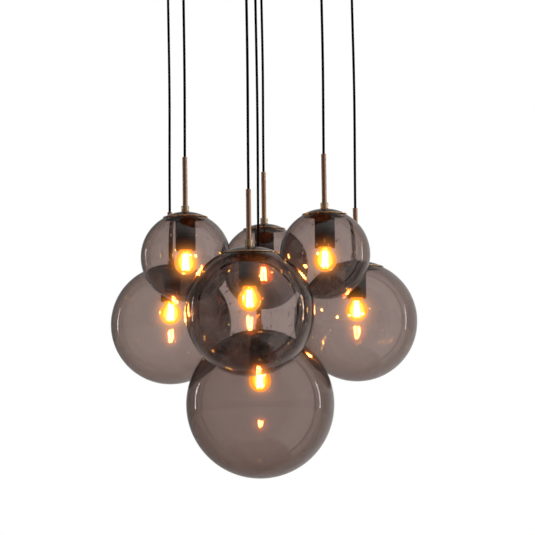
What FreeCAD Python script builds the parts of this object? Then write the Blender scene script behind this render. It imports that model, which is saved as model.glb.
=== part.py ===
import FreeCAD, Part
import math
import os

# A cluster pendant: seven smoke-tinted glass globes on black cords under one round canopy.
# Three small globes hang highest, three medium ones lower and further out, and the large
# one lowest, in the middle. Millimetres, +Z up. The origin is where the ceiling meets the
# bracket, straight above the large globe. The medium front lamp hangs on the -Y side.

# ---- Driving dimensions ----

# Blown glass globes
SMALL_GLOBE_DIAMETER = 180.0
MEDIUM_GLOBE_DIAMETER = 250.0
LARGE_GLOBE_DIAMETER = 300.0
SMALL_GLASS_WALL = 2.5
MEDIUM_GLASS_WALL = 2.5
LARGE_GLASS_WALL = 3.0
SMALL_GLASS_HOLE = 64.0           # cut in the top of a small globe
BIG_GLASS_HOLE = 80.0             # the same in a medium or large globe
GLASS_EDGE_ROUND = 0.8            # fire-polished edge of the hole

# Where the globes hang
LARGE_DROP = 930.0                # ceiling to the large globe's centre
MEDIUM_RISE = 172.2               # medium centres above the large one's
SMALL_RISE = 122.2                # small centres above the medium ones'
MEDIUM_TO_LARGE_GAP = 8.5         # glass to glass
SMALL_RING_RADIUS = 161.5
LAMPS_PER_RING = 3

# Cords
CORD_DIAMETER = 5.3
CORD_FIT = 0.3                    # round a cord in the hole that holds its end
CORD_SEAT_DEPTH = 4.0             # how deep a cord's end sits
CORD_END_GAP = 0.2                # from a cord's end to the bottom of its seat
WIRE_HOLE_DIAMETER = 3.0          # where only the bare wires go on

# Canopy and what fastens it
CANOPY_DEPTH = 35.0
CANOPY_WALL = 1.5
CANOPY_MARGIN = 25.0              # from the outer cords to the canopy's side
CANOPY_EDGE_ROUND = 6.0
BRACKET_WIDTH = 30.0
BRACKET_THICKNESS = 3.0
BRACKET_END = 12.0                # past the studs
BRACKET_CORNER_ROUND = 6.0
CEILING_SCREW_SPACING = 120.0
CEILING_SCREW_HOLE = 5.5
SUPPLY_HOLE_DIAMETER = 16.0
STUD_SPACING = 300.0
STUD_DIAMETER = 5.0
STUD_FIT = 0.25                   # round a stud in the canopy's hole
CAP_NUT_DIAMETER = 12.0
CAP_NUT_HEIGHT = 9.0
CAP_NUT_ROOF = 2.0
CAP_NUT_ROUND = 4.0

# Cord grips in the canopy
GRIP_WALL = 4.35                  # round the cord, below the canopy
GRIP_HEIGHT = 12.0
GRIP_TAPER = 2.2                  # narrower at the mouth than at the canopy
GRIP_SHANK_DIAMETER = 9.8
GRIP_SHANK_FIT = 0.3
GRIP_SHANK_LENGTH = 10.0
GRIP_NUT_ACROSS = 14.0
GRIP_NUT_HEIGHT = 4.0

# Terminal block under the bracket
TERMINAL_POLES = 3
TERMINAL_PITCH = 12.0
TERMINAL_WIDTH = 20.0
TERMINAL_HEIGHT = 15.0
TERMINAL_SHARE = 0.2              # of the way from the ceiling screw to the stud
TERMINAL_BORE = 4.0
TERMINAL_SCREW_DIAMETER = 4.0
TERMINAL_SCREW_INSET = 5.0        # from the block's long sides
TERMINAL_SCREW_SUNK = 1.0

# Brass stem on each globe. Heights on a lamp are counted from the top of its glass sphere.
STEM_TOP = 112.0
STEM_DIAMETER = 10.0
STEM_WALL = 1.0
FERRULE_LIP = 1.0
FERRULE_LENGTH = 8.0
COLLAR_WALL = 3.0
COLLAR_HEIGHT = 12.0
COLLAR_EDGE = 0.6
STEM_IN_COLLAR = 6.0
FIT = 0.1                         # round a stem, nipple or insert in what holds it

# Domed cap over the globe's hole
SMALL_CAP_OVERLAP = 12.0          # over the glass, round the hole
BIG_CAP_OVERLAP = 16.0
CAP_WALL = 1.0
CAP_GAP = 0.3                     # between the cap and the glass
CAP_BEAD_RADIUS = 1.0             # rolled edge

# Threaded nipple, washer, nut and sprung clip that hold the glass
NIPPLE_DIAMETER = 9.8
NIPPLE_WALL = 1.4
NIPPLE_IN_HOLDER = 6.0
WASHER_DIAMETER = 16.0
CLIP_DISC_DIAMETER = 30.0
CLIP_THICKNESS = 1.2
CLIP_ARMS = 3
CLIP_ARM_WIDTH = 8.0
CLIP_ARM_REACH = 6.0              # under the glass, past the hole's edge
CLIP_SHOULDER = 3.0               # where an arm starts to slope, past the disc
CLIP_GAP = 0.3
CLIP_NUT_ACROSS = 14.0
CLIP_NUT_HEIGHT = 4.0

# Black lampholder
HOLDER_DIAMETER = 40.5
HOLDER_WALL = 1.2
HOLDER_LOW = 77.0                 # its open edge, below the top of the sphere
HOLDER_EDGE_ROUND = 3.0
HOLDER_ROOF = 2.0
INSERT_ROOF = 10.0                # insulating insert above the lamp contact
CONTACT_DIAMETER = 8.0
CONTACT_THICKNESS = 0.7
SEAT_GAP = 0.3                    # round and above the bulb's screw base

# Bulb with a 27 mm screw base
BASE_SETBACK = 3.0                # base's lower end, above the holder's edge
BASE_LENGTH = 27.0
BASE_CREST_DIAMETER = 26.2
BASE_ROOT_DIAMETER = 24.4
BASE_PITCH = 3.63
BASE_TURNS = 5
BASE_RIDGE_SHARE = 0.62           # share of the pitch that a rounded ridge takes
BASE_SKIRT = 2.0
BASE_BORE_DIAMETER = 22.6
TIP_DIAMETER = 9.5
TIP_HEIGHT = 2.2
BULB_DIAMETER = 45.0
BULB_NECK_LENGTH = 6.0            # from the base to the top of the bulb's sphere
BULB_NECK_DIAMETER = 26.0
BULB_NECK_BLEND = 8.0
BULB_GLASS = 0.8
BULB_TAIL_DIAMETER = 22.0         # the part of the neck inside the base
BULB_TAIL_LENGTH = 14.0
MOUNT_DIAMETER = 7.0
MOUNT_BELOW_NECK = 4.0            # the glass mount's end, below the top of the bulb's sphere
FILAMENTS = 4
FILAMENT_DIAMETER = 1.8
FILAMENT_TOP_CIRCLE = 7.0         # filament centres at the upper hub
FILAMENT_LOW_CIRCLE = 12.0        # filament centres at the lower hub
FILAMENT_END_GAP = 9.0            # lower hub to the bottom of the bulb's glass
HUB_HEIGHT = 1.2
SUPPORT_WIRE_DIAMETER = 1.2

# Each cord hangs nearly straight. A point is (share of the drop, sideways x, sideways y),
# the last two in millimetres from the plumb line, chosen by hand.
CORD_ROUTES = {
    "centre": ((0.0, 0.0, 0.0), (0.12, 0.3, 0.2), (0.25, 0.9, 0.3), (0.37, 1.4, 0.1),
               (0.50, 1.5, -0.3), (0.62, 1.1, -0.5), (0.75, 0.5, -0.4), (0.88, 0.1, -0.1),
               (1.0, 0.0, 0.0)),
    "front": ((0.0, 0.0, 0.0), (0.17, 0.4, 0.1), (0.34, 1.0, -0.2), (0.50, 1.2, -0.6),
              (0.67, 0.8, -0.5), (0.84, 0.2, -0.2), (1.0, 0.0, 0.0)),
    "back_left": ((0.0, 0.0, 0.0), (0.16, 0.5, 0.3), (0.33, 1.3, 0.4), (0.51, 1.6, 0.1),
                  (0.68, 0.9, -0.2), (0.84, 0.2, -0.2), (1.0, 0.0, 0.0)),
    "back_right": ((0.0, 0.0, 0.0), (0.17, 0.7, 0.2), (0.33, 1.7, 0.4), (0.50, 2.1, 0.3),
                   (0.66, 1.6, 0.0), (0.83, 0.6, -0.1), (1.0, 0.0, 0.0)),
    "back": ((0.0, 0.0, 0.0), (0.20, 0.8, 0.1), (0.40, 1.4, -0.2), (0.61, 1.0, -0.4),
             (0.80, 0.3, -0.2), (1.0, 0.0, 0.0)),
    "front_left": ((0.0, 0.0, 0.0), (0.19, 0.3, 0.4), (0.40, 0.8, 0.7), (0.60, 1.0, 0.5),
                   (0.81, 0.5, 0.1), (1.0, 0.0, 0.0)),
    "front_right": ((0.0, 0.0, 0.0), (0.21, 0.5, 0.3), (0.40, 1.2, 0.3), (0.60, 1.3, -0.1),
                    (0.79, 0.6, -0.2), (1.0, 0.0, 0.0)),
}
CORD_ARC_SHARE = 0.45             # share of the shorter run that a bend takes

# ---- Sizes and places that follow ----

SMALL_RADIUS = SMALL_GLOBE_DIAMETER / 2
MEDIUM_RADIUS = MEDIUM_GLOBE_DIAMETER / 2
LARGE_RADIUS = LARGE_GLOBE_DIAMETER / 2
MEDIUM_RING_RADIUS = math.sqrt(
    (LARGE_RADIUS + MEDIUM_RADIUS + MEDIUM_TO_LARGE_GAP) ** 2 - MEDIUM_RISE ** 2)
CANOPY_RADIUS = MEDIUM_RING_RADIUS + CANOPY_MARGIN
CORD_RADIUS = CORD_DIAMETER / 2
GRIP_MOUTH = -CANOPY_DEPTH - GRIP_HEIGHT        # height of every cord's exit
CORD_TOP = GRIP_MOUTH + CORD_SEAT_DEPTH - CORD_END_GAP
RING_STEP = 360.0 / LAMPS_PER_RING
MEDIUM_NAMES = ("front", "back_right", "back_left")
SMALL_NAMES = ("front_right", "back", "front_left")
TERMINAL_START = (CEILING_SCREW_SPACING
                  + TERMINAL_SHARE * (STUD_SPACING - CEILING_SCREW_SPACING)) / 2

UP = FreeCAD.Vector(0, 0, 1)
CENTRE = FreeCAD.Vector(0, 0, 0)


class Lamp:
    """One pendant: its name, its place and the sizes of its glass."""

    def __init__(self, name, radius, wall, hole, overlap, ring, angle, centre_height):
        self.name = name
        self.radius = radius
        self.inner_radius = radius - wall
        self.hole_radius = hole / 2
        self.cap_radius = hole / 2 + overlap
        self.angle = angle
        self.x = ring * math.cos(math.radians(angle))
        self.y = ring * math.sin(math.radians(angle))
        self.centre_height = centre_height
        self.top = centre_height + radius

    def glass_inside(self, r):
        """Height of the glass's inner face at radius r, from the top of the sphere."""
        return math.sqrt(self.inner_radius ** 2 - r ** 2) - self.radius

    def cap_underside(self, r):
        """Height of the cap's underside at radius r, from the top of the sphere."""
        return math.sqrt((self.radius + CAP_GAP) ** 2 - r ** 2) - self.radius

    def place(self, shape):
        """A shape built round the top of the sphere, moved to where the lamp hangs."""
        return shape.translated(FreeCAD.Vector(self.x, self.y, self.top))


def lamps():
    """The seven pendants: the large one, then the medium and the small ring."""
    large_height = -LARGE_DROP
    medium_height = large_height + MEDIUM_RISE
    small_height = medium_height + SMALL_RISE
    found = [Lamp("centre", LARGE_RADIUS, LARGE_GLASS_WALL, BIG_GLASS_HOLE, BIG_CAP_OVERLAP,
                  0.0, 0.0, large_height)]
    for n, name in enumerate(MEDIUM_NAMES):
        found.append(Lamp(name, MEDIUM_RADIUS, MEDIUM_GLASS_WALL, BIG_GLASS_HOLE,
                          BIG_CAP_OVERLAP, MEDIUM_RING_RADIUS, -90 + n * RING_STEP,
                          medium_height))
    for n, name in enumerate(SMALL_NAMES):
        found.append(Lamp(name, SMALL_RADIUS, SMALL_GLASS_WALL, SMALL_GLASS_HOLE,
                          SMALL_CAP_OVERLAP, SMALL_RING_RADIUS, -30 + n * RING_STEP,
                          small_height))
    return found


# ---- Small makers ----

def disc(diameter, height, low, x=0.0, y=0.0):
    """An upright cylinder whose lower end is at height low."""
    return Part.makeCylinder(diameter / 2, height, FreeCAD.Vector(x, y, low))


def tube(outer, inner, height, low, x=0.0, y=0.0):
    """An upright tube whose lower end is at height low."""
    return disc(outer, height, low, x, y).cut(disc(inner, height, low, x, y))


def hex_prism(across, height, low, x=0.0, y=0.0):
    """A hexagonal prism, across its flats."""
    corner = across / math.sqrt(3)
    points = [FreeCAD.Vector(x + corner * math.cos(math.radians(60 * n)),
                             y + corner * math.sin(math.radians(60 * n)), low)
              for n in range(7)]
    return Part.Face(Part.makePolygon(points)).extrude(UP * height)


def turned(edges):
    """A solid turned about Z from edges that close a profile in the XZ plane."""
    face = Part.Face(Part.Wire(Part.sortEdges(edges)[0]))
    solid = face.revolve(CENTRE, UP, 360)
    if solid.Volume < 0:
        solid.reverse()
    return solid


def at(r, z):
    """A point of a profile: radius and height."""
    return FreeCAD.Vector(r, 0, z)


def lines(*points):
    """Straight edges from point to point of a profile."""
    return [Part.makeLine(at(*a), at(*b)) for a, b in zip(points, points[1:])]


def arc(a, middle, b):
    """A circular edge of a profile through three points."""
    return Part.Arc(at(*a), at(*middle), at(*b)).toShape()


def on_circle(centre, radius, degrees):
    """A point (radius, height) on a circle of a profile."""
    turn = math.radians(degrees)
    return centre[0] + radius * math.cos(turn), centre[1] + radius * math.sin(turn)


def edges_at_radius(shape, radius):
    """Edges of the circles about Z that have this radius."""
    return [e for e in shape.Edges if not e.Degenerated
            and isinstance(e.Curve, Part.Circle) and abs(e.Curve.Radius - radius) < 0.01]


# ---- Ceiling fitting ----

def canopy(all_lamps):
    """A shallow round pan, open towards the ceiling, with a hole for each cord grip."""
    outer = disc(2 * CANOPY_RADIUS, CANOPY_DEPTH, -CANOPY_DEPTH)
    low_edge = [e for e in edges_at_radius(outer, CANOPY_RADIUS)
                if e.BoundBox.ZMax < -CANOPY_DEPTH / 2]
    outer = outer.makeFillet(CANOPY_EDGE_ROUND, low_edge)
    inner_radius = CANOPY_RADIUS - CANOPY_WALL
    inner = disc(2 * inner_radius, CANOPY_DEPTH, CANOPY_WALL - CANOPY_DEPTH)
    low_edge = [e for e in edges_at_radius(inner, inner_radius)
                if e.BoundBox.ZMax < -CANOPY_DEPTH / 2]
    inner = inner.makeFillet(CANOPY_EDGE_ROUND - CANOPY_WALL, low_edge)
    pan = outer.cut(inner)
    hole = GRIP_SHANK_DIAMETER + 2 * GRIP_SHANK_FIT
    for lamp in all_lamps:
        pan = pan.cut(disc(hole, CANOPY_DEPTH, -CANOPY_DEPTH - CANOPY_WALL, lamp.x, lamp.y))
    for x in stud_places():
        pan = pan.cut(disc(STUD_DIAMETER + 2 * STUD_FIT, CANOPY_DEPTH,
                           -CANOPY_DEPTH - CANOPY_WALL, x))
    return pan


def stud_places():
    """Where the two studs stand along X."""
    return (-STUD_SPACING / 2, STUD_SPACING / 2)


def ceiling_bracket():
    """The steel strip that is screwed to the ceiling, its two studs and their cap nuts."""
    length = STUD_SPACING + 2 * BRACKET_END
    strip = Part.makeBox(length, BRACKET_WIDTH, BRACKET_THICKNESS,
                         FreeCAD.Vector(-length / 2, -BRACKET_WIDTH / 2, -BRACKET_THICKNESS))
    upright = [e for e in strip.Edges if abs(e.tangentAt(e.FirstParameter).z) > 0.99]
    strip = strip.makeFillet(BRACKET_CORNER_ROUND, upright)
    for x in (-CEILING_SCREW_SPACING / 2, CEILING_SCREW_SPACING / 2):
        strip = strip.cut(disc(CEILING_SCREW_HOLE, BRACKET_THICKNESS, -BRACKET_THICKNESS, x))
    strip = strip.cut(disc(SUPPLY_HOLE_DIAMETER, BRACKET_THICKNESS, -BRACKET_THICKNESS))
    pieces = [strip]
    nut_low = -CANOPY_DEPTH - CAP_NUT_HEIGHT
    stud_low = nut_low + CAP_NUT_ROOF + FIT
    for x in stud_places():
        pieces.append(disc(STUD_DIAMETER, -BRACKET_THICKNESS - stud_low, stud_low, x))
        nut = disc(CAP_NUT_DIAMETER, CAP_NUT_HEIGHT, nut_low, x)
        low_edge = [e for e in edges_at_radius(nut, CAP_NUT_DIAMETER / 2)
                    if e.BoundBox.ZMax < nut_low + CAP_NUT_HEIGHT / 2]
        nut = nut.makeFillet(CAP_NUT_ROUND, low_edge)
        bore = disc(STUD_DIAMETER + 2 * FIT, CAP_NUT_HEIGHT, nut_low + CAP_NUT_ROOF, x)
        pieces.append(nut.cut(bore))
    return Part.makeCompound(pieces)


def cord_grips(all_lamps):
    """A tapered bush below the canopy for each cord, with its shank and lock nut."""
    pieces = []
    bush_radius = CORD_RADIUS + GRIP_WALL
    shank_top = -CANOPY_DEPTH + GRIP_SHANK_LENGTH
    for lamp in all_lamps:
        here = FreeCAD.Vector(lamp.x, lamp.y, GRIP_MOUTH)
        bush = Part.makeCone(bush_radius - GRIP_TAPER, bush_radius, GRIP_HEIGHT, here)
        shank = disc(GRIP_SHANK_DIAMETER, GRIP_SHANK_LENGTH, -CANOPY_DEPTH, lamp.x, lamp.y)
        grip = bush.fuse(shank)
        seat = disc(CORD_DIAMETER + 2 * CORD_FIT, CORD_SEAT_DEPTH, GRIP_MOUTH, lamp.x, lamp.y)
        wires = disc(WIRE_HOLE_DIAMETER, shank_top - GRIP_MOUTH, GRIP_MOUTH, lamp.x, lamp.y)
        pieces.append(grip.cut(seat).cut(wires))
        nut_low = -CANOPY_DEPTH + CANOPY_WALL
        nut = hex_prism(GRIP_NUT_ACROSS, GRIP_NUT_HEIGHT, nut_low, lamp.x, lamp.y)
        pieces.append(nut.cut(disc(GRIP_SHANK_DIAMETER + 2 * FIT, GRIP_NUT_HEIGHT, nut_low,
                                   lamp.x, lamp.y)))
    return Part.makeCompound(pieces)


def terminal_block():
    """The insulating block where the supply joins the cords' wires, and its screws."""
    length = TERMINAL_POLES * TERMINAL_PITCH
    low = -BRACKET_THICKNESS - TERMINAL_HEIGHT
    block = Part.makeBox(length, TERMINAL_WIDTH, TERMINAL_HEIGHT,
                         FreeCAD.Vector(TERMINAL_START, -TERMINAL_WIDTH / 2, low))
    screws = []
    depth = TERMINAL_HEIGHT / 2
    for pole in range(TERMINAL_POLES):
        x = TERMINAL_START + (pole + 0.5) * TERMINAL_PITCH
        bore = Part.makeCylinder(TERMINAL_BORE / 2, TERMINAL_WIDTH,
                                 FreeCAD.Vector(x, -TERMINAL_WIDTH / 2, low + depth),
                                 FreeCAD.Vector(0, 1, 0))
        block = block.cut(bore)
        for side in (-1, 1):
            y = side * (TERMINAL_WIDTH / 2 - TERMINAL_SCREW_INSET)
            block = block.cut(disc(TERMINAL_SCREW_DIAMETER + 2 * FIT, depth, low, x, y))
            head_low = low + TERMINAL_SCREW_SUNK
            screws.append(disc(TERMINAL_SCREW_DIAMETER, depth - TERMINAL_SCREW_SUNK
                               - TERMINAL_BORE / 2, head_low, x, y))
    return Part.makeCompound([block] + screws)


# ---- Cords ----

def smooth_path(points, name):
    """Straight runs joined by arcs that touch both runs, as one wire."""
    edges = []
    start = points[0]
    tightest = None
    for before, corner, after in zip(points, points[1:], points[2:]):
        back, ahead = before - corner, after - corner
        half_turn = (math.pi - back.getAngle(ahead)) / 2
        reach = CORD_ARC_SHARE * min(back.Length, ahead.Length)
        radius = reach / math.tan(half_turn)
        tightest = radius if tightest is None else min(radius, tightest)
        begin = corner + back.normalize() * reach
        end = corner + ahead.normalize() * reach
        inwards = (back + ahead).normalize()
        middle = corner + inwards * (radius / math.cos(half_turn) - radius)
        edges.append(Part.makeLine(start, begin))
        edges.append(Part.Arc(begin, middle, end).toShape())
        start = end
    edges.append(Part.makeLine(start, points[-1]))
    path = Part.Wire(edges)
    print(f"cord_{name}: {path.Length:.1f} mm long, tightest bend {tightest:.0f} mm")
    return path


def cord_points(lamp):
    """The route from the seat in the grip down to the seat in the stem."""
    drop = CORD_TOP - cord_low(lamp)
    return [FreeCAD.Vector(lamp.x + aside_x, lamp.y + aside_y, CORD_TOP - share * drop)
            for share, aside_x, aside_y in CORD_ROUTES[lamp.name]]


def cord_low(lamp):
    """Height of the cord's lower end, in the top of the stem."""
    return lamp.top + STEM_TOP - CORD_SEAT_DEPTH + CORD_END_GAP


def cord(lamp):
    """A round cord along its route."""
    points = cord_points(lamp)
    path = smooth_path(points, lamp.name)
    section = Part.Wire(Part.makeCircle(CORD_RADIUS, points[0], points[1] - points[0]))
    solid = path.makePipeShell([section], True, False)
    expected = math.pi * CORD_RADIUS ** 2 * path.Length
    print(f"cord_{lamp.name}: volume {solid.Volume / expected:.4f} of section times length")
    return solid


# ---- Lamp ----

def stem(lamp):
    """The brass tube, the ferrule that takes the cord, and the collar on the cap."""
    collar_low = lamp.cap_underside(0) + CAP_WALL
    collar_top = collar_low + COLLAR_HEIGHT
    stem_low = collar_top - STEM_IN_COLLAR
    bore = STEM_DIAMETER - 2 * STEM_WALL
    pipe = tube(STEM_DIAMETER, bore, STEM_TOP - FERRULE_LIP - stem_low, stem_low)
    ferrule_low = STEM_TOP - FERRULE_LENGTH
    ferrule = disc(bore - FIT, FERRULE_LENGTH, ferrule_low)
    ferrule = ferrule.fuse(disc(STEM_DIAMETER, FERRULE_LIP, STEM_TOP - FERRULE_LIP))
    ferrule = ferrule.cut(disc(CORD_DIAMETER + 2 * CORD_FIT, CORD_SEAT_DEPTH,
                               STEM_TOP - CORD_SEAT_DEPTH))
    ferrule = ferrule.cut(disc(WIRE_HOLE_DIAMETER, FERRULE_LENGTH, ferrule_low))
    collar_diameter = STEM_DIAMETER + 2 * COLLAR_WALL
    collar = disc(collar_diameter, COLLAR_HEIGHT, collar_low)
    collar = collar.makeChamfer(COLLAR_EDGE, edges_at_radius(collar, collar_diameter / 2))
    collar = collar.cut(disc(STEM_DIAMETER + 2 * FIT, STEM_IN_COLLAR, stem_low))
    collar = collar.cut(disc(NIPPLE_DIAMETER + 2 * FIT, COLLAR_HEIGHT, collar_low))
    return Part.makeCompound([pipe, ferrule, collar])


def cap(lamp):
    """A thin brass dome that follows the glass, with a rolled edge and a hole on top."""
    inside = lamp.radius + CAP_GAP
    outside = inside + CAP_WALL
    bead_path = inside + CAP_BEAD_RADIUS
    centre = (0.0, -lamp.radius)
    hole = NIPPLE_DIAMETER / 2 + FIT
    low = 90 - math.degrees(math.asin(lamp.cap_radius / bead_path))
    top_inside = 90 - math.degrees(math.asin(hole / inside))
    top_outside = 90 - math.degrees(math.asin(hole / outside))
    bead_meets = low + math.degrees(math.acos(
        (outside ** 2 + bead_path ** 2 - CAP_BEAD_RADIUS ** 2) / (2 * outside * bead_path)))
    a, b = on_circle(centre, inside, top_inside), on_circle(centre, inside, low)
    c, d = on_circle(centre, outside, bead_meets), on_circle(centre, outside, top_outside)
    bead = on_circle(on_circle(centre, bead_path, low), CAP_BEAD_RADIUS, low - 45)
    return turned([arc(a, on_circle(centre, inside, (low + top_inside) / 2), b),
                   arc(b, bead, c),
                   arc(c, on_circle(centre, outside, (bead_meets + top_outside) / 2), d)]
                  + lines(d, a))


def clip_top(lamp):
    """Height of the clip's disc: as near under the cap as its width allows."""
    return lamp.cap_underside(CLIP_DISC_DIAMETER / 2) - CLIP_GAP


def holder_top(lamp):
    """Height of the lampholder's top, under the clip's nut."""
    return clip_top(lamp) - CLIP_THICKNESS - CLIP_NUT_HEIGHT - CLIP_GAP


def glass_clip(lamp):
    """The nipple through cap, clip and lampholder; washer; clip with sprung arms; nut."""
    disc_top = clip_top(lamp)
    disc_low = disc_top - CLIP_THICKNESS
    nipple_hole = NIPPLE_DIAMETER + 2 * FIT
    nipple_low = holder_top(lamp) - NIPPLE_IN_HOLDER
    nipple_high = lamp.cap_underside(0) + CAP_WALL + COLLAR_HEIGHT - STEM_IN_COLLAR - FIT
    nipple = tube(NIPPLE_DIAMETER, NIPPLE_DIAMETER - 2 * NIPPLE_WALL,
                  nipple_high - nipple_low, nipple_low)
    washer_top = lamp.cap_underside(WASHER_DIAMETER / 2) - FIT / 2
    washer = tube(WASHER_DIAMETER, nipple_hole, washer_top - disc_top, disc_top)
    clip = disc(CLIP_DISC_DIAMETER, CLIP_THICKNESS, disc_low)
    for n in range(CLIP_ARMS):
        clip = clip.fuse(clip_arm(lamp).rotated(CENTRE, UP, n * 360 / CLIP_ARMS))
    clip = clip.cut(disc(nipple_hole, CLIP_THICKNESS, disc_low)).removeSplitter()
    nut = hex_prism(CLIP_NUT_ACROSS, CLIP_NUT_HEIGHT, disc_low - CLIP_NUT_HEIGHT)
    nut = nut.cut(disc(nipple_hole, CLIP_NUT_HEIGHT, disc_low - CLIP_NUT_HEIGHT))
    return Part.makeCompound([nipple, washer, clip, nut])


def clip_arm(lamp):
    """One bent strip, from the disc out through the hole and under the glass."""
    disc_radius = CLIP_DISC_DIAMETER / 2
    shoulder = disc_radius + CLIP_SHOULDER
    tip = lamp.hole_radius + CLIP_ARM_REACH
    tip_corner = math.hypot(tip, CLIP_ARM_WIDTH / 2)
    edge = lamp.hole_radius - CLIP_SHOULDER
    top = [(disc_radius / 2, clip_top(lamp)),
           (shoulder, lamp.cap_underside(shoulder) - CLIP_GAP),
           (edge, lamp.glass_inside(lamp.hole_radius) - CLIP_THICKNESS),
           (tip, lamp.glass_inside(tip_corner) - CLIP_GAP)]
    low = [(r, z - CLIP_THICKNESS) for r, z in reversed(top)]
    points = [FreeCAD.Vector(r, -CLIP_ARM_WIDTH / 2, z) for r, z in top + low + top[:1]]
    face = Part.Face(Part.makePolygon(points))
    return face.extrude(FreeCAD.Vector(0, CLIP_ARM_WIDTH, 0))


def globe(lamp):
    """A blown sphere with a round hole cut in its top."""
    middle = FreeCAD.Vector(0, 0, -lamp.radius)
    ball = Part.makeSphere(lamp.radius, middle).cut(Part.makeSphere(lamp.inner_radius, middle))
    ball = ball.cut(disc(2 * lamp.hole_radius, lamp.radius, -lamp.radius))
    return ball.makeFillet(GLASS_EDGE_ROUND, edges_at_radius(ball, lamp.hole_radius))


def bulb_levels():
    """Heights of the bulb's contact, its base's lower end, its sphere's centre and bottom."""
    base_low = -HOLDER_LOW + BASE_SETBACK
    contact = base_low + BASE_LENGTH
    sphere_centre = base_low - BULB_NECK_LENGTH - BULB_DIAMETER / 2
    return contact, base_low, sphere_centre, sphere_centre - BULB_DIAMETER / 2


def lampholder(lamp):
    """The black cup, the insulating insert that takes the bulb, and the centre contact."""
    contact, base_low, _, _ = bulb_levels()
    top = holder_top(lamp)
    cup = disc(HOLDER_DIAMETER, top + HOLDER_LOW, -HOLDER_LOW)
    top_edge = [e for e in edges_at_radius(cup, HOLDER_DIAMETER / 2)
                if e.BoundBox.ZMin > -HOLDER_LOW / 2]
    cup = cup.makeFillet(HOLDER_EDGE_ROUND, top_edge)
    inside = HOLDER_DIAMETER - 2 * HOLDER_WALL
    cup = cup.cut(disc(inside, top - HOLDER_ROOF + HOLDER_LOW, -HOLDER_LOW))
    cup = cup.cut(disc(NIPPLE_DIAMETER + 2 * FIT, HOLDER_LOW, -HOLDER_LOW))
    bore_top = contact + SEAT_GAP + CONTACT_THICKNESS
    insert = disc(inside - 2 * FIT, bore_top + INSERT_ROOF - base_low, base_low)
    bore = BASE_CREST_DIAMETER + 2 * SEAT_GAP
    insert = insert.cut(disc(bore, bore_top - base_low, base_low))
    plate = disc(CONTACT_DIAMETER, CONTACT_THICKNESS, bore_top - CONTACT_THICKNESS)
    return Part.makeCompound([cup, insert, plate])


def bulb_base(lamp):
    """The screw shell with its rounded thread, the black insulator and the contact."""
    contact, base_low, _, _ = bulb_levels()
    crest, root = BASE_CREST_DIAMETER / 2, BASE_ROOT_DIAMETER / 2
    bore = BASE_BORE_DIAMETER / 2
    skirt_top = base_low + BASE_SKIRT
    outline = lines((bore, base_low), (root, base_low), (root, skirt_top))
    z = skirt_top
    for _ in range(BASE_TURNS):
        ridge = BASE_PITCH * BASE_RIDGE_SHARE
        ridge_top = (root, z + ridge)
        outline.append(arc((root, z), (crest, z + ridge / 2), ridge_top))
        outline += lines(ridge_top, (root, z + BASE_PITCH))
        z += BASE_PITCH
    shell_top = z
    outline += lines((root, shell_top), (bore, shell_top), (bore, base_low))
    tip_low = contact - TIP_HEIGHT
    tip_radius = TIP_DIAMETER / 2
    insulator = turned(lines((0, shell_top), (root, shell_top), (tip_radius, tip_low),
                             (0, tip_low), (0, shell_top)))
    tip = turned(lines((0, tip_low), (tip_radius, tip_low),
                       (tip_radius, tip_low + TIP_HEIGHT / 2), (tip_radius / 2, contact),
                       (0, contact), (0, tip_low)))
    return Part.makeCompound([turned(outline), insulator, tip])


def bulb_outline(inset):
    """The bulb's glass from the tail in the base to its bottom, inset from its outer face."""
    _, base_low, sphere_centre, _ = bulb_levels()
    tail = BULB_TAIL_DIAMETER / 2 - inset
    neck = BULB_NECK_DIAMETER / 2 - inset
    ball = BULB_DIAMETER / 2 - inset
    blend = BULB_NECK_BLEND + inset
    tail_low = base_low - FIT
    neck_top = tail_low - (BULB_NECK_DIAMETER - BULB_TAIL_DIAMETER) / 2
    rise = math.sqrt((ball + blend) ** 2 - (neck + blend) ** 2)
    blend_centre = (neck + blend, sphere_centre + rise)
    join_angle = math.degrees(math.atan2(rise, neck + blend))
    join = on_circle((0, sphere_centre), ball, join_angle)
    middle = on_circle(blend_centre, blend, (180 + 180 + join_angle) / 2)
    side = on_circle((0, sphere_centre), ball, (join_angle - 90) / 2)
    return (lines((tail, base_low + BULB_TAIL_LENGTH), (tail, tail_low), (neck, neck_top),
                  (neck, blend_centre[1]))
            + [arc((neck, blend_centre[1]), middle, join),
               arc(join, side, (0, sphere_centre - ball))])


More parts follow.
